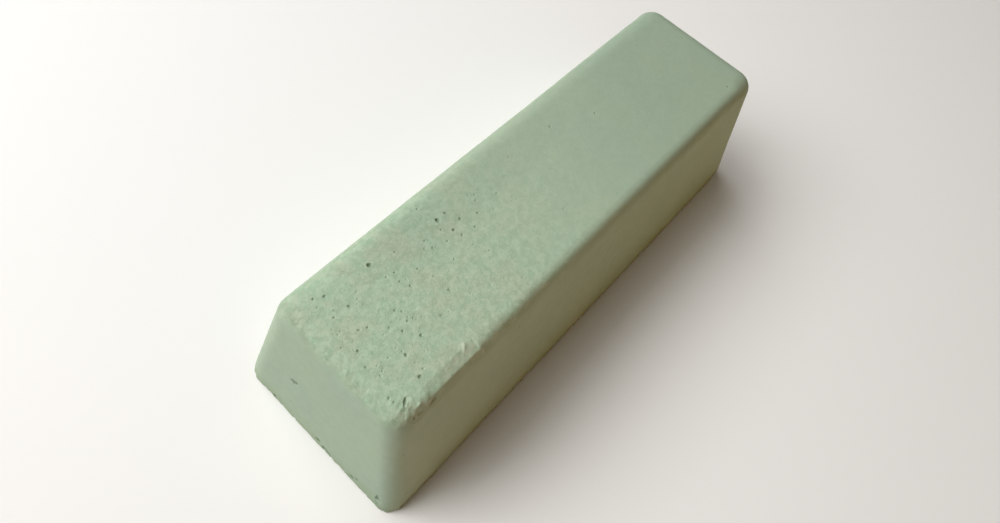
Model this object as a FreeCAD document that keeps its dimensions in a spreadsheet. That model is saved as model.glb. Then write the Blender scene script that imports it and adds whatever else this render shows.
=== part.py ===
"""A cast bar of honing compound, rubbed on a leather strop to charge it with abrasive.

The bar is one casting of wax and fine green abrasive. It is poured into an open tapered mould and
turned out upside down, so it rests on the poured face, which is its widest. All four sides lean in
by the mould's draft. The mould's rounded floor gives the smaller top face, which is the one that is
rubbed on the leather. The poured face cools last, so its middle sinks into a shallow hollow inside
a flat rim.

Frame: millimetres, +X along the bar, +Z up. The origin is the middle of the resting plane.
"""

import FreeCAD, Part

import math
import os

import Sketcher

# The driving dimensions. Lengths are in millimetres and the angle is in degrees.
SIZES = {
    "base_length": 75.0,
    "base_width": 26.0,
    "bar_height": 21.0,
    "draft_angle": 11.0,
    "corner_radius": 2.2,
    "top_edge_radius": 2.5,
    "base_edge_radius": 0.3,
    "rim_width": 1.6,
    "hollow_depth": 0.7,
    "hollow_run": 4.0,
    "hollow_corner_radius": 6.0,
    "hollow_blend_radius": 8.0,
    "rim_blend_radius": 6.0,
}

SHEET = "Sizes"
PARTS_FOLDER = "parts"
SAME_HEIGHT = 1e-4  # how near two heights count as one, in millimetres


def make_sheet(doc):
    """The spreadsheet of driving dimensions, one row each: its name, its value and its alias."""
    sheet = doc.addObject("Spreadsheet::Sheet", SHEET)
    for row, (alias, value) in enumerate(SIZES.items(), start=1):
        sheet.set(f"A{row}", alias)
        sheet.set(f"B{row}", str(value))
        sheet.setAlias(f"B{row}", alias)
    doc.recompute()
    return sheet


def cell(alias):
    """How an expression names one of the sheet's cells."""
    return f"{SHEET}.{alias}"


def bind(feature, sizes):
    """Ties a feature's properties to expressions on the sheet, and works the feature out."""
    for name, expression in sizes.items():
        feature.setExpression(name, expression)
    feature.Document.recompute()
    return feature


def origin_plane(body, role):
    """One of the body's own origin planes."""
    return next(plane for plane in body.Origin.OriginFeatures if plane.Role == role)


def rectangle(body, name, length, width):
    """A sketch on the resting plane: a rectangle about the origin, sized by two expressions."""
    sketch = body.newObject("Sketcher::SketchObject", name)
    sketch.AttachmentSupport = (origin_plane(body, "XY_Plane"), [""])
    sketch.MapMode = "FlatFace"

    # Four sides in turn, drawn as a small square and then stretched by the constraints.
    drawn = 2.0
    half = drawn / 2
    corners = [(half, half), (-half, half), (-half, -half), (half, -half)]
    points = [FreeCAD.Vector(x, y, 0) for x, y in corners]
    sides = []
    for point, following in zip(points, points[1:] + points[:1]):
        sides.append(sketch.addGeometry(Part.LineSegment(point, following)))
    back, left, front, right = sides

    start_point, end_point = 1, 2
    for side, following in zip(sides, sides[1:] + sides[:1]):
        sketch.addConstraint(
            Sketcher.Constraint("Coincident", side, end_point, following, start_point)
        )
    for side in (back, front):
        sketch.addConstraint(Sketcher.Constraint("Horizontal", side))
    for side in (left, right):
        sketch.addConstraint(Sketcher.Constraint("Vertical", side))

    # Opposite corners mirror each other through the origin, which is point 1 of geometry -1.
    sketch.addConstraint(
        Sketcher.Constraint("Symmetric", back, start_point, front, start_point, -1, 1)
    )

    length_index = sketch.addConstraint(
        Sketcher.Constraint("DistanceX", front, start_point, front, end_point, drawn)
    )
    width_index = sketch.addConstraint(
        Sketcher.Constraint("DistanceY", right, start_point, right, end_point, drawn)
    )
    sketch.renameConstraint(length_index, "length")
    sketch.renameConstraint(width_index, "width")
    return bind(sketch, {"Constraints.length": length, "Constraints.width": width})


def upright_faces(feature):
    """The names of the feature's faces that stand on edge, rather than lie flat."""
    names = []
    for number, face in enumerate(feature.Shape.Faces, start=1):
        normal = face.normalAt(0, 0)
        if abs(normal.z) < max(abs(normal.x), abs(normal.y)):
            names.append(f"Face{number}")
    return names


def edges_between(feature, low, high, keep=lambda edge: True):
    """The names of the edges whose ends are at these two heights, and that keep() accepts."""
    names = []
    for number, edge in enumerate(feature.Shape.Edges, start=1):
        heights = sorted(vertex.Z for vertex in edge.Vertexes)
        meets = abs(heights[0] - low) < SAME_HEIGHT and abs(heights[-1] - high) < SAME_HEIGHT
        if meets and keep(edge):
            names.append(f"Edge{number}")
    return names


def rounded(body, name, base, edges, radius):
    """A fillet on the named edges of the feature before it."""
    feature = body.newObject("PartDesign::Fillet", name)
    feature.Base = (base, edges)
    return bind(feature, {"Radius": cell(radius)})


def drafted_block(body, sheet):
    """The block as the mould shapes it: drafted sides, a rounded top edge and rounded corners."""
    outline = rectangle(body, "base_outline", cell("base_length"), cell("base_width"))
    block = body.newObject("PartDesign::Pad", "block")
    block.Profile = outline
    bind(block, {"Length": cell("bar_height")})

    # The sides lean in about the resting plane, which keeps its size.
    draft = body.newObject("PartDesign::Draft", "mould_draft")
    draft.Base = (block, upright_faces(block))
    draft.NeutralPlane = (origin_plane(body, "XY_Plane"), [""])
    bind(draft, {"Angle": cell("draft_angle")})
    if draft.Shape.Volume >= block.Shape.Volume:
        raise RuntimeError("the draft leans the sides out, not in")

    top_edges = edges_between(draft, sheet.bar_height, sheet.bar_height)
    top = rounded(body, "rounded_top", draft, top_edges, "top_edge_radius")

    # The corners are rounded after the top edge, so that either radius may be the larger one.
    # Their edges rise from the base to where the top edge's rounding starts.
    lean = math.sin(math.radians(sheet.draft_angle))
    rounding_foot = sheet.bar_height - sheet.top_edge_radius * (1 - lean)
    corner_edges = edges_between(top, 0.0, rounding_foot)
    corners = rounded(body, "rounded_corners", top, corner_edges, "corner_radius")

    # The poured face's outer arris is broken as the casting leaves the mould.
    base_edges = edges_between(corners, 0.0, 0.0)
    return rounded(body, "rounded_base", corners, base_edges, "base_edge_radius")


def hollowed(body, sheet, block):
    """The shrinkage hollow under the block: a shallow dish that slopes up from a flat rim."""
    # A wedge grows along its own Y axis, and on the XZ plane that axis points up. Its mouth is as
    # long and wide as the base inside the rim, and its floor is a run further in all round.
    mouth_x = f"{cell('base_length')} / 2 - {cell('rim_width')}"
    mouth_z = f"{cell('base_width')} / 2 - {cell('rim_width')}"
    floor_x = f"{mouth_x} - {cell('hollow_run')}"
    floor_z = f"{mouth_z} - {cell('hollow_run')}"

    hollow = body.newObject("PartDesign::SubtractiveWedge", "shrinkage_hollow")
    hollow.AttachmentSupport = (origin_plane(body, "XZ_Plane"), [""])
    hollow.MapMode = "FlatFace"
    bind(
        hollow,
        {
            "Ymin": "0 mm",
            "Ymax": cell("hollow_depth"),
            "Xmin": f"-({mouth_x})",
            "Xmax": mouth_x,
            "Zmin": f"-({mouth_z})",
            "Zmax": mouth_z,
            "X2min": f"-({floor_x})",
            "X2max": floor_x,
            "Z2min": f"-({floor_z})",
            "Z2max": floor_z,
        },
    )
    if hollow.Shape.Volume >= block.Shape.Volume:
        raise RuntimeError("the shrinkage hollow removed nothing")

    # The cooling wax has no sharp line in it, so the dish is blended at its corners, its floor
    # and its mouth.
    valleys = edges_between(hollow, 0.0, sheet.hollow_depth)
    corners = rounded(body, "hollow_corners", hollow, valleys, "hollow_corner_radius")

    floor_edges = edges_between(corners, sheet.hollow_depth, sheet.hollow_depth)
    floor = rounded(body, "hollow_floor", corners, floor_edges, "hollow_blend_radius")

    # The flat rim has an outer and an inner outline. Only the inner one stays inside the mouth.
    mouth_half_length = sheet.base_length / 2 - sheet.rim_width
    mouth_half_width = sheet.base_width / 2 - sheet.rim_width

    def on_the_mouth(edge):
        box = edge.BoundBox
        in_length = max(-box.XMin, box.XMax) < mouth_half_length + SAME_HEIGHT
        in_width = max(-box.YMin, box.YMax) < mouth_half_width + SAME_HEIGHT
        return in_length and in_width

    mouth_edges = edges_between(floor, 0.0, 0.0, on_the_mouth)
    return rounded(body, "rim_blend", floor, mouth_edges, "rim_blend_radius")


def make_compound_bar(doc, sheet):
    """The casting."""
    body = doc.addObject("PartDesign::Body", "compound_bar")
    body.Label = "compound_bar"
    body.Placement = FreeCAD.Placement()
    block = drafted_block(body, sheet)
    body.Tip = hollowed(body, sheet, block)
    return body


def check(doc, pieces):
    """Stops the build if a feature failed or a piece isn't one sound solid."""
    for item in doc.Objects:
        if "Invalid" in item.State or "Error" in item.State:
            raise RuntimeError(f"{item.Name} failed: {item.State}")
    for piece in pieces:
        shape = piece.Shape
        if shape.isNull() or not shape.isValid() or len(shape.Solids) != 1:
            raise RuntimeError(f"{piece.Label} isn't one valid solid")


def main():
    doc = FreeCAD.newDocument("honing_compound_bar")
    sheet = make_sheet(doc)
    pieces = [make_compound_bar(doc, sheet)]
    doc.recompute()
    check(doc, pieces)

    os.makedirs(PARTS_FOLDER, exist_ok=True)
    for piece in pieces:
        piece.Shape.exportStep(os.path.join(PARTS_FOLDER, f"{piece.Label}.step"))
        box = piece.Shape.optimalBoundingBox(False, False)
        sides = f"{box.XLength:.2f} x {box.YLength:.2f} x {box.ZLength:.2f} mm"
        print(f"{piece.Label}: {sides}, {piece.Shape.Volume / 1000:.2f} cm3")


main()
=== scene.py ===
import math
import random

import bmesh
import bpy
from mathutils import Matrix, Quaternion, Vector, noise
from mathutils.bvhtree import BVHTree
from mathutils.kdtree import KDTree


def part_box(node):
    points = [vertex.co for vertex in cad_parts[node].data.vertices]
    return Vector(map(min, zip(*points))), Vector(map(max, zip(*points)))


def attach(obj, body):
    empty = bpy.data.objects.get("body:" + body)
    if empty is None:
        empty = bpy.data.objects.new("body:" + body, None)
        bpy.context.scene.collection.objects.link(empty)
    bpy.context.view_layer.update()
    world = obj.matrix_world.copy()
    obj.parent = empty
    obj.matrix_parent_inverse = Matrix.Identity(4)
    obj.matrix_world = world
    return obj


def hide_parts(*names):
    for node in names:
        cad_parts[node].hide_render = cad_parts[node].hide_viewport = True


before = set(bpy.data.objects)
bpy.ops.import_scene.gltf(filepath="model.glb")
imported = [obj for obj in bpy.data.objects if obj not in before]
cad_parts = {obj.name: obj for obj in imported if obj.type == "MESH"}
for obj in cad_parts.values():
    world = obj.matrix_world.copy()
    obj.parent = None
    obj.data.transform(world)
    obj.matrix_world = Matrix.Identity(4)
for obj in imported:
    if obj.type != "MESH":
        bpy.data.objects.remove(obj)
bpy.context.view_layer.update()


# ---- Cast block -----------------------------------------------------------------------------
# One casting of wax and fine green abrasive. It was poured into an open mould with sides that
# lean out, so all four of its sides lean in towards the face that was the mould's floor, which
# is up here. The plan outline has rounded corners, and the top edge is rounded all the way.

mm = 0.001
low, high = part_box("compound_bar")
block_height = high.z - low.z
mould_draft = math.radians(11.0)
corner_radius = 2.2 * mm
top_radius = 2.5 * mm
arris_radius = 0.3 * mm

# The rounded arris takes a little off the full outline of the base, which is found again here.
arris_inset = arris_radius * (math.tan(mould_draft) + 1 / math.cos(mould_draft))
half_length = (high.x - low.x) / 2 + arris_inset - arris_radius
half_width = (high.y - low.y) / 2 + arris_inset - arris_radius

# The side's rows of points: the share that goes to the arris, and where the top rounding starts.
arris_share = 0.03
rounding_share = 0.85


def side_profile(share):
    """How far in and how high the side is, at a share of the way up from the base to the top."""
    if share < arris_share:
        turn = -math.pi / 2 + (math.pi / 2 + mould_draft) * share / arris_share
        inset = arris_inset - arris_radius * math.cos(turn)
        return inset, arris_radius * (1 + math.sin(turn))
    centre_height = block_height - top_radius
    centre_inset = centre_height * math.tan(mould_draft) + top_radius / math.cos(mould_draft)
    if share > rounding_share:
        past = (share - rounding_share) / (1 - rounding_share)
        turn = mould_draft + (math.pi / 2 - mould_draft) * past
        inset = centre_inset - top_radius * math.cos(turn)
        return inset, centre_height + top_radius * math.sin(turn)
    foot = arris_radius * (1 + math.sin(mould_draft))
    shoulder = centre_height + top_radius * math.sin(mould_draft)
    part = (share - arris_share) / (rounding_share - arris_share)
    height = foot + (shoulder - foot) * part
    return height * math.tan(mould_draft), height


def block_point(unit):
    """Where a point of the two-unit cube goes on the block."""
    inset, height = side_profile((unit.z + 1) / 2)
    radius = corner_radius - (inset - height * math.tan(mould_draft))
    reach_x = half_length - inset
    reach_y = half_width - inset
    x = unit.x * reach_x
    y = unit.y * reach_y
    past_x = abs(x) - (reach_x - radius)
    past_y = abs(y) - (reach_y - radius)
    if past_x > 0 and past_y > 0:
        shrink = max(past_x, past_y) / math.hypot(past_x, past_y)
        x = math.copysign(reach_x - radius + past_x * shrink, x)
        y = math.copysign(reach_y - radius + past_y * shrink, y)
    return Vector((x, y, height))


# The cube is cut along the bar, across it and up it, and then drawn out to the block.
cube_cuts = (159, 37, 41)
shortest_run = 0.01

bar = bmesh.new()
bmesh.ops.create_cube(bar, size=2.0)
for axis, cuts in enumerate(cube_cuts):
    along = [edge for edge in bar.edges
             if abs((edge.verts[0].co - edge.verts[1].co)[axis]) > shortest_run]
    bmesh.ops.subdivide_edges(bar, edges=along, cuts=cuts, use_grid_fill=True)
for vert in bar.verts:
    vert.co = block_point(vert.co)


# ---- Poured face ----------------------------------------------------------------------------
# The open side of the mould, which is under the bar. It set last, so the middle has sunk and
# only a rim is left to stand on. Slow ripples run along it from the pour.

rim_width = 1.6 * mm
sink_run = 5.0 * mm
sink_depth = 0.7 * mm
ripple_height = 0.05 * mm
ripple_scale = 2600
swirl_scale = 60
swirl_bend = 3
fading_scale = 150
flat_height = 0.001 * mm


def smooth_step(low_edge, high_edge, value):
    """Rises from 0 to 1 between two edges, level at both."""
    share = min(max((value - low_edge) / (high_edge - low_edge), 0.0), 1.0)
    return share * share * (3 - 2 * share)


for vert in bar.verts:
    if vert.co.z < flat_height:
        from_end = half_length - abs(vert.co.x)
        from_side = half_width - abs(vert.co.y)
        sink = smooth_step(rim_width, rim_width + sink_run, from_end)
        sink *= smooth_step(rim_width, rim_width + sink_run, from_side)
        swirl = noise.noise(vert.co * swirl_scale)
        ripple = math.sin(from_side * ripple_scale + swirl_bend * swirl)
        ripple *= noise.noise(vert.co * fading_scale)
        vert.co.z = sink * (sink_depth + ripple_height * ripple)


# ---- Pits and bruises -----------------------------------------------------------------------
# Air trapped against the mould's floor left round pits, most of them at the end that is rubbed
# on the leather. The wax is brittle when cold, so edges have crumbled and one top corner is
# bruised. Each pit, groove, dent or lost crumb is a ball, or a row of them, cut out of the skin.

top_height = block_height / mm
seed = 41
chance = random.Random(seed)
skin = BVHTree.FromBMesh(bar)
scoops = []


def scoop(place, radius, depth, kind):
    """Notes a ball to be cut out: a place near the skin and its sizes, all in millimetres.

    A pit is painted dark inside as shade, a crumb leaves a pale scar, a dent keeps the skin's
    colour.
    """
    on_skin, outward, _, _ = skin.find_nearest(Vector(place) * mm)
    centre = on_skin + outward * (radius - depth) * mm
    scoops.append((centre, radius * mm, kind))


def groove(start, end, radius, depth, kind):
    """Notes an uneven row of balls from one place to another, which thins out at both ends."""
    start, end = Vector(start), Vector(end)
    steps = max(2, round((end - start).length / (0.6 * radius)))
    for step in range(steps + 1):
        stray = Vector([chance.uniform(-0.35, 0.35) * radius for _ in range(3)])
        thinned = 1 - 0.5 * abs(2 * step / steps - 1) * chance.random()
        place = start.lerp(end, step / steps) + stray
        scoop(place, radius * thinned, depth * thinned * chance.uniform(0.5, 1.0), kind)


# The largest pits: how far along the top, how far across it and how wide they are.
large_pits = (
    (-23.5, 5.5, 0.50), (-14.5, 4.5, 0.48), (-12.5, 3.0, 0.36), (-14.0, 2.5, 0.34),
    (-16.5, 0.0, 0.32), (-15.5, 2.0, 0.28), (-29.0, 6.0, 0.34), (-30.0, 6.5, 0.34),
    (-28.0, 3.5, 0.34), (-29.0, 1.0, 0.32), (-25.0, -3.5, 0.38), (-26.0, -2.0, 0.32),
    (-27.5, -4.0, 0.36), (-28.0, -6.5, 0.44), (-26.5, -5.5, 0.28), (-30.5, -0.5, 0.30),
    (-9.0, 4.0, 0.28), (-6.0, 1.0, 0.30), (-7.0, 2.5, 0.30), (5.0, 4.5, 0.36),
    (-13.2, 4.6, 0.30), (-12.0, 1.2, 0.28), (-10.5, 2.2, 0.30), (-15.0, 3.4, 0.26),
    (-18.0, 3.0, 0.28), (-19.5, -2.0, 0.28), (-22.0, 1.0, 0.28), (-20.5, 4.8, 0.26),
)
radius_share = 0.54
depth_share = 0.34
for along, across, wide in large_pits:
    scoop((along, across, top_height), wide * radius_share, wide * depth_share, "pit")

# Small pits thin out along the bar, away from the rubbed end.
small_pits = 150
rubbed_end = -31.5
far_end = 31.0
top_half_width = 7.0
thinning_run = 12
while small_pits:
    along = chance.uniform(rubbed_end, far_end)
    across = chance.uniform(-top_half_width, top_half_width)
    if chance.random() < math.exp(-(along - rubbed_end) / thinning_run):
        radius = chance.uniform(0.07, 0.16)
        scoop((along, across, top_height), radius, radius * 0.44, "pit")
        small_pits -= 1

# A few more are scattered over the sides, where the mould wall trapped less air. One in five of
# them is on an end.
side_pits = 24
end_chance = 0.2
for _ in range(side_pits):
    height = chance.uniform(1.5, 18)
    leaned_in = height * math.tan(mould_draft)
    along = chance.uniform(-35, 35)
    across = chance.choice((-1, 1)) * (half_width / mm - leaned_in)
    if chance.random() < end_chance:
        along = chance.choice((-1, 1)) * (half_length / mm - leaned_in)
        across = chance.uniform(-10, 10)
    radius = chance.uniform(0.08, 0.15)
    scoop((along, across, height), radius, radius * 0.6, "pit")

# Two shallow scoops side by side, with painted shade inside, make the short dark mark on the near
# end.
scoop((-35.5, 4.7, 9.9), 0.60, 0.13, "pit")
scoop((-35.5, 4.3, 10.2), 0.60, 0.12, "pit")

# Crumbs lost from the base arris, all the way round, which are half as wide on the ends.
crumbs = 150
end_crumb_size = 0.5
for step in range(crumbs):
    share = (step + chance.random()) / crumbs
    round_trip = share * 4 * (half_length + half_width)
    if round_trip < 4 * half_length:
        side = 1 if round_trip < 2 * half_length else -1
        place = Vector((round_trip % (2 * half_length) - half_length, side * half_width, 0))
    else:
        round_trip -= 4 * half_length
        side = 1 if round_trip < 2 * half_width else -1
        place = Vector((side * half_length, round_trip % (2 * half_width) - half_width, 0))
    place.z = chance.uniform(0.2, 0.6) * mm
    radius = chance.uniform(0.25, 0.75) * (1 if abs(place.y) > 12 * mm else end_crumb_size)
    scoop(place / mm, radius, radius * chance.uniform(0.2, 0.45), "crumb")

# Holes low on the near end, and a short upright groove by its corner, deepest in the middle.
low_holes = (
    (-0.3, 1.7, 0.50), (-1.6, 1.1, 0.55), (-2.3, 0.9, 0.45),
    (-6.3, 1.4, 0.45), (-6.9, 2.1, 0.35), (7.5, 0.9, 0.50),
)
for across, height, radius in low_holes:
    scoop((-37.2, across, height), radius, radius * 0.45, "pit")
groove((-36.9, -10.4, 1.2), (-36.8, -10.2, 3.6), 0.36, 0.09, "pit")
scoop((-36.9, -10.3, 2.6), 0.50, 0.24, "pit")

# The bruised corner has a groove across it, a dent behind that and a dent on the edge beyond.
groove((-30.4, -6.8, 21.0), (-31.2, -7.5, 20.7), 0.13, 0.035, "pit")
groove((-31.2, -8.6, 19.9), (-29.9, -8.7, 19.9), 0.30, 0.10, "dent")
groove((-28.9, -8.7, 20.0), (-28.3, -8.7, 20.0), 0.26, 0.08, "dent")

# A crumb has gone from the far base corner.
for step in range(4):
    scoop((34.6 + 0.5 * step, -12.6 + 0.3 * step, 0.8), 0.9, 0.40, "crumb")

scoop_tree = KDTree(len(scoops))
for index, (centre, radius, kind) in enumerate(scoops):
    scoop_tree.insert(centre, index)
scoop_tree.balance()
widest_scoop = max(radius for _, radius, _ in scoops)


def near_scoops(place, margin):
    """The scoops whose balls come within a margin of a place."""
    for _, index, away in scoop_tree.find_range(place, widest_scoop + margin):
        centre, radius, kind = scoops[index]
        if away < radius + margin:
            yield centre, radius, kind


def border_stray(place, fine_scale, fine_reach, coarse_scale, coarse_reach):
    """How far a ragged border strays at a place. The reaches are in millimetres."""
    fine_part = noise.noise(place * fine_scale) * fine_reach * mm
    return fine_part + noise.noise(place * coarse_scale) * coarse_reach * mm


# Slivers of wax stand up beside the dents: the two ends of each, and how high it stands.
slivers = (
    (Vector((-29.9, -8.15, 20.45)) * mm, Vector((-31.1, -8.45, 20.05)) * mm, 0.30 * mm),
    (Vector((-29.2, -8.45, 20.25)) * mm, Vector((-28.5, -8.60, 20.10)) * mm, 0.10 * mm),
    (Vector((-21.6, -8.30, 20.45)) * mm, Vector((-21.3, -9.00, 19.60)) * mm, 0.10 * mm),
    (Vector((-23.0, -7.60, 20.85)) * mm, Vector((-22.6, -7.10, 21.00)) * mm, 0.07 * mm),
)
sliver_width = 0.18 * mm


def sliver_height(place):
    """How far the surface stands up at a place because of the slivers."""
    height = 0
    for start, end, tall in slivers:
        part = (place - start).dot(end - start) / (end - start).length_squared
        nearest = start.lerp(end, min(max(part, 0), 1))
        away = (place - nearest).length / sliver_width
        height = max(height, tall * math.exp(-away ** 2))
    return height


# The top edge's rounding on the front side: where its centre is, how full it is and at which
# turn, in degrees up from level, and the flat facet that is worn on it near the rubbed end.
rounding_across = -(half_width - block_height * math.tan(mould_draft)) + top_radius * (
    1 / math.cos(mould_draft) - math.tan(mould_draft))
rounding_height = block_height - top_radius
edge_fullness = 0.28 * mm
fullest_turn = 57
fullness_spread = 18
facet_lean = math.radians(72)
facet_outward = Vector((0, -math.cos(facet_lean), math.sin(facet_lean)))
facet_reach = top_radius + 0.03 * mm
facet_start = -28.4 * mm
facet_end = -21.5 * mm
facet_end_blend = 0.12 * mm


def edge_wear(place):
    """How far the front top edge lies inside its rounding.

    Unworn, it is fuller than the rounding, so this is less than 0. Worn, it is a flat facet.
    """
    across = rounding_across - place.y
    up = place.z - rounding_height
    if across <= 0 or up <= 0:
        return 0
    turn = math.degrees(math.atan2(up, across))
    fullness = edge_fullness * math.exp(-((turn - fullest_turn) / fullness_spread) ** 2)
    fullness *= 1 - smooth_step(29 * mm, 31 * mm, abs(place.x))
    ragged = border_stray(
        place, fine_scale=1500, fine_reach=0.5, coarse_scale=500, coarse_reach=0.8)
    worn = smooth_step(facet_start - 0.8 * mm, facet_start + 0.4 * mm, place.x)
    worn *= 1 - smooth_step(
        facet_end - facet_end_blend, facet_end + facet_end_blend, place.x + ragged)
    radial = Vector((0, -across, up))
    proud = radial.dot(facet_outward) * (1 + fullness / radial.length) - facet_reach
    return worn * max(proud, 0) - fullness


# Where the crumbled top edges are: on the front side, at the near end and at their corner.
edge_across = 8.0 * mm
edge_along = 32.5 * mm
edge_height = 20.3 * mm
bruised_corner = Vector((-30.8, -8.0, 20.3)) * mm
side_crumble_width = 1.1 * mm
end_crumble_width = 0.9 * mm
corner_crumble_width = 1.5 * mm
crumble_scale = 330


def bruise(place):
    """How crumbled the surface is at a place, from 0 to 1."""
    past_side = math.hypot(place.y + edge_across, place.z - edge_height) / side_crumble_width
    past_end = math.hypot(place.x + edge_along, place.z - edge_height) / end_crumble_width
    from_corner = (place - bruised_corner).length / corner_crumble_width
    patchy = smooth_step(0.0, 0.4, noise.noise(place * crumble_scale + Vector((5, 0, 2))))
    fading = 1 - smooth_step(-22 * mm, -12 * mm, place.x)
    fading *= 1 - 0.6 * smooth_step(facet_start, facet_start + 1 * mm, place.x)
    along_side = math.exp(-past_side ** 2) * (0.10 + 0.60 * patchy) * fading
    along_end = math.exp(-past_end ** 2) * (0.25 + 0.50 * patchy)
    at_corner = 0.75 * math.exp(-from_corner ** 2)
    return min(1.0, max(along_side, along_end, at_corner))


# The mesh is made finer where a ball cuts it or the surface has crumbled or worn, in three
# rounds. Each has the edge length that it stops at, and how far past a ball it goes. Only the
# last one goes below the limit after them, and it is for pits and slivers alone.
finer_rounds = ((0.30 * mm, 0.25 * mm), (0.15 * mm, 0.10 * mm), (0.080 * mm, 0.02 * mm))
last_round = 0.1 * mm
for finest, margin in finer_rounds:
    chosen = set()
    for face in bar.faces:
        edge_length = max(edge.calc_length() for edge in face.edges)
        if edge_length < finest:
            continue
        middle = face.calc_center_median()
        if finest > last_round and middle.z > 15 * mm and bruise(middle) > 0.14:
            chosen.update(face.edges)
            continue
        by_facet = facet_start - 1.0 * mm < middle.x < facet_end + 0.6 * mm
        by_facet = by_facet and finest > last_round and edge_wear(middle) != 0
        if by_facet or sliver_height(middle) > 0.03 * mm:
            chosen.update(face.edges)
            continue
        for centre, radius, kind in near_scoops(middle, margin + edge_length / 2):
            if finest > last_round or kind == "pit":
                chosen.update(face.edges)
                break
    bmesh.ops.subdivide_edges(bar, edges=list(chosen), cuts=1, use_grid_fill=True)

# Values that the colours read, from 0 to 1: painted shade in pits, crumbled, rubbed, painted shade
# on the top, painted warm light in front, a darker foot and painted shade on the near rim.
bar.normal_update()
painted_pit_shade = bar.verts.layers.float.new("painted_pit_shade")
bruised = bar.verts.layers.float.new("bruised")
rubbed = bar.verts.layers.float.new("rubbed")
painted_top_shade = bar.verts.layers.float.new("painted_top_shade")
darker_foot = bar.verts.layers.float.new("darker_foot")
painted_warm_bounce = bar.verts.layers.float.new("painted_warm_bounce")
painted_rim_shade = bar.verts.layers.float.new("painted_rim_shade")

# How far the surface strays from the plain block, and where the painted shade on the near rim
# runs.
wave_height = 0.08 * mm
lump_height = 0.022 * mm
grain_height = 0.007 * mm
crumble_depth = 0.14 * mm
arris_notch = 0.26 * mm
fringe_along = 32.6 * mm
fringe_height = 20.2 * mm
fringe_width = 1.0 * mm

# How fine each kind of unevenness is, in features to the metre.
wave_scale = 55
lump_scale = 420
grain_scales = (1900, 3800)
grain_patch_scale = 240
notch_scales = (800, 2000)
fringe_scales = (1500, 700)
warp_scale = 1400
step_scales = (1700, 3900)
rough_scale = 2200
wobble_scales = (2800, 1700)
wobble_shift = 900

# Noise vectors, which warp the crumbled steps, are drawn from the clock unless they have a seed.
noise.seed_set(seed)

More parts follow.
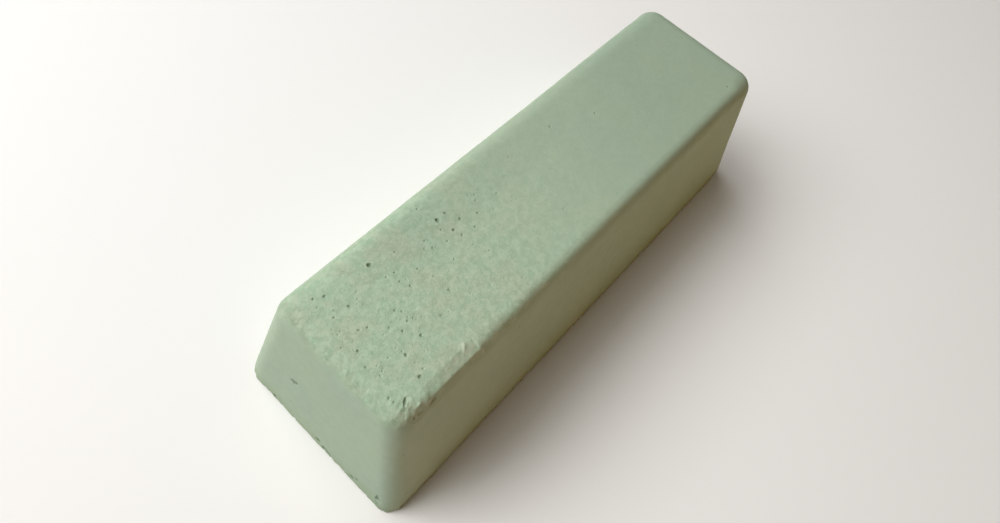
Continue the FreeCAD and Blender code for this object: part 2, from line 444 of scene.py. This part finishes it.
moves = []
for vert in bar.verts:
    place = vert.co.copy()
    outward = vert.normal.copy()

    # The rubbed patch covers the near end of the top, with a ragged border.
    ragged = border_stray(
        place, fine_scale=1300, fine_reach=0.7, coarse_scale=420, coarse_reach=1.1)
    on_top = smooth_step(
        block_height - 1.3 * mm, block_height - 0.6 * mm, place.z + ragged * 0.6)
    towards_end = 1 - smooth_step(-24 * mm, 8 * mm, place.x + ragged * 4)
    vert[rubbed] = on_top * (0.15 + 0.85 * towards_end)

    # Painted shade darkens the top towards the far end and along the back half of its middle.
    vert[painted_top_shade] = on_top * smooth_step(-12 * mm, 24 * mm, place.x + ragged * 3)
    across_back = smooth_step(0, 4 * mm, place.y)
    across_back *= 1 - smooth_step(7.2 * mm, 8.4 * mm, place.y)
    along_back = smooth_step(-28 * mm, -18 * mm, place.x)
    along_back *= 1 - smooth_step(6 * mm, 20 * mm, place.x)
    vert[painted_top_shade] = max(vert[painted_top_shade], 0.65 * on_top * (across_back * along_back))

    # Painted shade darkens the near end's top edge in spots, painted warm light yellows the front
    # side towards the far end, and the foot of the bar is darker and yellower all round.
    past_fringe = math.hypot(place.x + fringe_along, place.z - fringe_height) / fringe_width
    if past_fringe < 3:
        spots = noise.noise(place * fringe_scales[0]) + 0.5 * noise.noise(place * fringe_scales[1])
        spotty = smooth_step(-0.1, 0.5, spots)
        vert[painted_rim_shade] = math.exp(-past_fringe ** 2) * (0.45 + 0.55 * spotty)
    on_front = smooth_step(0.5, 0.9, -outward.y)
    vert[painted_warm_bounce] = on_front * (0.35 + 0.65 * smooth_step(-30 * mm, 30 * mm, place.x))
    vert[darker_foot] = 1 - smooth_step(0.3 * mm, 3.0 * mm, place.z + ragged)

    # The casting isn't quite flat: long waves, then lumps, then grain on the rubbed patch.
    wave = noise.noise(place * wave_scale + Vector((7, 3, 1)))
    lump = noise.noise(place * lump_scale)
    grain = noise.noise(place * grain_scales[0]) + 0.7 * noise.noise(place * grain_scales[1])
    patchy = 0.4 + 1.2 * smooth_step(-0.2, 0.3, noise.noise(place * grain_patch_scale))
    inward = wave_height * (0.5 + 0.5 * wave) + lump_height * (0.5 - lump)
    inward += grain_height * (1 - grain) * (0.2 + 1.8 * vert[rubbed] * patchy)
    inward += edge_wear(place)

    # The base arris is notched, because it is where the pour met the open top of the mould.
    by_arris = 1 - smooth_step(0.3 * mm, 1.4 * mm, place.z)
    if by_arris > 0 and outward.z > -0.95:
        notch = max(0, noise.noise(place * notch_scales[0]))
        notch += 0.8 * max(0, noise.noise(place * notch_scales[1]))
        on_side = 0.25 + 0.9 * smooth_step(11.8 * mm, 12.3 * mm, abs(place.y))
        inward += arris_notch * (0.25 + notch) * by_arris * on_side

    # Crumbled wax breaks in small steps with rough floors, and slivers are pale as it is.
    crumbled = bruise(place)
    if crumbled > 0.02:
        warped = place + noise.noise_vector(place * warp_scale) * 0.35 * mm
        steps = noise.cell(warped * step_scales[0]) * 0.4
        steps += noise.cell(warped * step_scales[1]) * 0.2
        rough = noise.turbulence(place * rough_scale, 3, False)
        inward += crumble_depth * crumbled * (steps + 0.8 * rough)
        vert[bruised] = crumbled * min(1.0, 0.35 + steps)
    stands_up = sliver_height(place)
    if stands_up > 0.01 * mm:
        vert[bruised] = max(vert[bruised], min(stands_up / (0.06 * mm), 1))

    # Each ball that holds the point pushes it inwards, out of the ball. The balls are a little
    # out of round.
    probe = place.copy()
    for centre, radius, kind in near_scoops(place, 0.1 * mm):
        wobble = noise.noise(place * wobble_scales[0] + centre * wobble_shift)
        wobble += noise.noise(place * wobble_scales[1])
        edge = radius + min(0.32 * radius, 0.10 * mm) * wobble
        offset = probe - centre
        if offset.length < edge:
            lean = offset.dot(outward)
            drop = lean + math.sqrt(max(lean * lean - offset.length_squared + edge * edge, 0))
            probe -= outward * drop
            # The inside of a pit is painted dark as its shade.
            if kind == "pit":
                vert[painted_pit_shade] = max(vert[painted_pit_shade], min(drop / (0.12 * mm), 1))
            elif kind == "crumb":
                vert[bruised] = max(vert[bruised], min(drop / (0.25 * mm), 1) * 0.5)
    moves.append(probe - outward * (inward - stands_up))
for vert, moved in zip(bar.verts, moves):
    vert.co = moved
    vert.co.z = max(vert.co.z, low.z)
for face in bar.faces:
    face.smooth = True

bar_mesh = bpy.data.meshes.new("cast_bar")
bar.to_mesh(bar_mesh)
bar.free()
cast_bar = bpy.data.objects.new("cast_bar", bar_mesh)
bpy.context.scene.collection.objects.link(cast_bar)


# ---- Compound -------------------------------------------------------------------------------
# Wax filled with green oxide, pale and chalky. It is greener and grainy with beige smears where
# it is rubbed, pale where it has crumbled, and painted dark in the pits as their shade. Painted
# shade darkens the far and back parts of the top and spots on the near rim, painted warm light
# yellows the front side, and the foot is darker and yellower.

compound = bpy.data.materials.new("green_honing_compound")
compound.use_nodes = True
nodes = compound.node_tree.nodes
links = compound.node_tree.links
surface = nodes["Principled BSDF"]
surface.inputs["Specular IOR Level"].default_value = 0.35
coordinates = nodes.new("ShaderNodeTexCoord").outputs["Object"]


def cloud(scale, detail, roughness=0.5):
    """A soft random cloud, with so many features to the metre."""
    texture = nodes.new("ShaderNodeTexNoise")
    texture.inputs["Scale"].default_value = scale
    texture.inputs["Detail"].default_value = detail
    texture.inputs["Roughness"].default_value = roughness
    links.new(coordinates, texture.inputs["Vector"])
    return texture.outputs["Fac"]


def spread(value, from_low, from_high, to_low=0.0, to_high=1.0):
    """A value's range stretched smoothly onto another range."""
    mapped = nodes.new("ShaderNodeMapRange")
    mapped.interpolation_type = "SMOOTHSTEP"
    mapped.inputs["From Min"].default_value = from_low
    mapped.inputs["From Max"].default_value = from_high
    mapped.inputs["To Min"].default_value = to_low
    mapped.inputs["To Max"].default_value = to_high
    links.new(value, mapped.inputs["Value"])
    return mapped.outputs["Result"]


def product(first, second):
    """One value times another."""
    times = nodes.new("ShaderNodeMath")
    times.operation = "MULTIPLY"
    for socket, value in zip(times.inputs, (first, second)):
        if isinstance(value, float):
            socket.default_value = value
        else:
            links.new(value, socket)
    return times.outputs["Value"]


def blended(share, first, second, mode="MIX"):
    """One colour laid over another by a share."""
    mix = nodes.new("ShaderNodeMix")
    mix.data_type = "RGBA"
    mix.blend_type = mode
    # The mix has two inputs for each kind of data, and those for colours are 6 and 7.
    for socket, value in zip((mix.inputs["Factor"], mix.inputs[6], mix.inputs[7]),
                             (share, first, second)):
        if isinstance(value, tuple):
            socket.default_value = (*value, 1.0)
        elif isinstance(value, float):
            socket.default_value = value
        else:
            links.new(value, socket)
    return mix.outputs[2]


def painted(name):
    """One of the values stored on the bar's points."""
    attribute = nodes.new("ShaderNodeAttribute")
    attribute.attribute_name = name
    return attribute.outputs["Fac"]


skin_colour = (0.381, 0.468, 0.339)
cool_skin_colour = (0.362, 0.458, 0.342)
rubbed_colour = (0.383, 0.510, 0.362)
beige_smear_colour = (0.425, 0.478, 0.340)
crumbled_colour = (0.560, 0.595, 0.460)
# The pits' dark colour is painted shade.
pit_shade_colour = (0.215, 0.290, 0.195)
grain_dark = (0.83, 0.87, 0.84)
grain_light = (1.09, 1.06, 1.08)
# Multipliers: painted shade on the top, a darker foot, painted warm light in front, painted rim
# shade.
top_shade_multiplier = (0.86, 0.87, 0.88)
foot_multiplier = (0.86, 0.87, 0.78)
warm_bounce_multiplier = (1.0, 1.0, 0.84)
rim_shade_multiplier = (0.80, 0.80, 0.78)

# Each layer of colour is laid over the ones before it.
rubbed_share = painted("rubbed")
colour = blended(spread(cloud(110, 3), 0.35, 0.65), skin_colour, cool_skin_colour)
colour = blended(rubbed_share, colour, rubbed_colour)
smear = product(spread(cloud(210, 5, 0.7), 0.42, 0.60), rubbed_share)
colour = blended(product(smear, 0.60), colour, beige_smear_colour)
# Painted shade on the top, painted warm light in front, a darker foot and painted rim shade.
shades = (
    ("painted_top_shade", top_shade_multiplier), ("painted_warm_bounce", warm_bounce_multiplier), ("darker_foot", foot_multiplier),
    ("painted_rim_shade", rim_shade_multiplier),
)
for layer, shade in shades:
    colour = blended(painted(layer), colour, blended(1.0, colour, shade, "MULTIPLY"))
mottle = blended(spread(cloud(1100, 6, 0.80), 0.40, 0.60), grain_dark, grain_light)
mottle_share = spread(rubbed_share, 0.0, 1.0, 0.15, 0.90)
colour = blended(mottle_share, colour, mottle, "MULTIPLY")
crumbled = product(painted("bruised"), spread(cloud(1500, 4), 0.35, 0.60))
colour = blended(product(crumbled, 0.55), colour, crumbled_colour)
# Pits are painted dark as their shade.
colour = blended(spread(painted("painted_pit_shade"), 0.0, 1.0), colour, pit_shade_colour)
links.new(colour, surface.inputs["Base Color"])

links.new(spread(cloud(900, 3), 0.3, 0.7, 0.58, 0.74), surface.inputs["Roughness"])

# Only the finest grain is bump: over all of the skin, and a coarser crackle where it is rubbed.
fine = nodes.new("ShaderNodeBump")
fine.inputs["Strength"].default_value = 0.5
fine.inputs["Distance"].default_value = 0.04 * mm
links.new(cloud(3600, 4, 0.6), fine.inputs["Height"])
crackle = nodes.new("ShaderNodeBump")
crackle.inputs["Strength"].default_value = 0.6
crackle.inputs["Distance"].default_value = 0.14 * mm
links.new(product(cloud(1300, 5, 0.7), rubbed_share), crackle.inputs["Height"])
links.new(fine.outputs["Normal"], crackle.inputs["Normal"])
links.new(crackle.outputs["Normal"], surface.inputs["Normal"])

cast_bar.data.materials.append(compound)
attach(cast_bar, "root")
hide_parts("compound_bar")


# ---- Floor ----------------------------------------------------------------------------------
# A plain sheet of pale, matt paper under the bar. It is wide enough to fill the view from every
# side.

floor_reach = 3.0
paper_colour = (0.90, 0.89, 0.87, 1)

floor_mesh = bpy.data.meshes.new("floor")
sheet = bmesh.new()
bmesh.ops.create_grid(sheet, x_segments=1, y_segments=1, size=floor_reach)
sheet.to_mesh(floor_mesh)
sheet.free()
floor = bpy.data.objects.new("floor", floor_mesh)
bpy.context.scene.collection.objects.link(floor)
paper = bpy.data.materials.new("pale_paper")
paper.use_nodes = True
paper_surface = paper.node_tree.nodes["Principled BSDF"]
paper_surface.inputs["Base Color"].default_value = paper_colour
paper_surface.inputs["Roughness"].default_value = 0.9
floor.data.materials.append(paper)


# ---- Light ----------------------------------------------------------------------------------
# Three soft white lights stand high behind the bar, two of them towards its near end. A weak
# orange one is low in front, a faint one is low beyond the far end, and the room is dim and warm.

lamp_aim = (0, 0, 0.01)
white = (1.0, 1.0, 1.0)

# Each lamp's name, place, width, power and tint.
lamps = (
    ("key", (-0.25, 0.25, 0.35), 0.30, 1.73, white),
    ("top_light", (-0.15, 0.15, 0.45), 0.40, 0.50, white),
    ("back_light", (0, 0.30, 0.40), 0.30, 0.87, white),
    ("low_light", (0.09, -0.63, 0.082), 0.27, 0.70, (1.0, 0.40, 0.0)),
    ("far_light", (0.45, 0.05, 0.06), 0.20, 0.06, (1.0, 0.98, 0.95)),
)
for lamp_name, lamp_place, lamp_size, power, tint in lamps:
    lamp = bpy.data.lights.new(lamp_name, "AREA")
    lamp.shape = "SQUARE"
    lamp.size = lamp_size
    lamp.energy = power
    lamp.color = tint
    holder = bpy.data.objects.new(lamp_name, lamp)
    holder.location = lamp_place
    facing = Vector(lamp_aim) - Vector(lamp_place)
    holder.rotation_euler = facing.to_track_quat("-Z", "Y").to_euler()
    bpy.context.scene.collection.objects.link(holder)

world = bpy.data.worlds.new("room")
world.use_nodes = True
room = world.node_tree.nodes["Background"]
room.inputs["Color"].default_value = (1.0, 0.90, 0.60, 1)
room.inputs["Strength"].default_value = 0.05
bpy.context.scene.world = world
bpy.context.scene.view_settings.view_transform = "Standard"


# ---- Camera ---------------------------------------------------------------------------------
# A wide lens close above the near end, which looks down along the bar. The camera is turned a
# little on its own axis.

camera_place = Vector((-43.1, -15.9, 79.5)) * mm
view_azimuth = math.radians(-61.5)
view_elevation = math.radians(62.5)
view_roll = math.radians(16.6)

camera_data = bpy.data.cameras.new("camera")
camera_data.lens = 22.7
camera_data.sensor_width = 36.0
camera_data.shift_x = 0.035
camera_data.shift_y = 0.005
camera_data.clip_start = 5 * mm
camera = bpy.data.objects.new("camera", camera_data)
back = Vector((
    math.sin(view_azimuth) * math.cos(view_elevation),
    -math.cos(view_azimuth) * math.cos(view_elevation),
    math.sin(view_elevation),
))
level = (-back).to_track_quat("-Z", "Y")
camera.rotation_euler = (level @ Quaternion((0, 0, 1), view_roll)).to_euler()
camera.location = camera_place
bpy.context.scene.collection.objects.link(camera)
bpy.context.scene.camera = camera
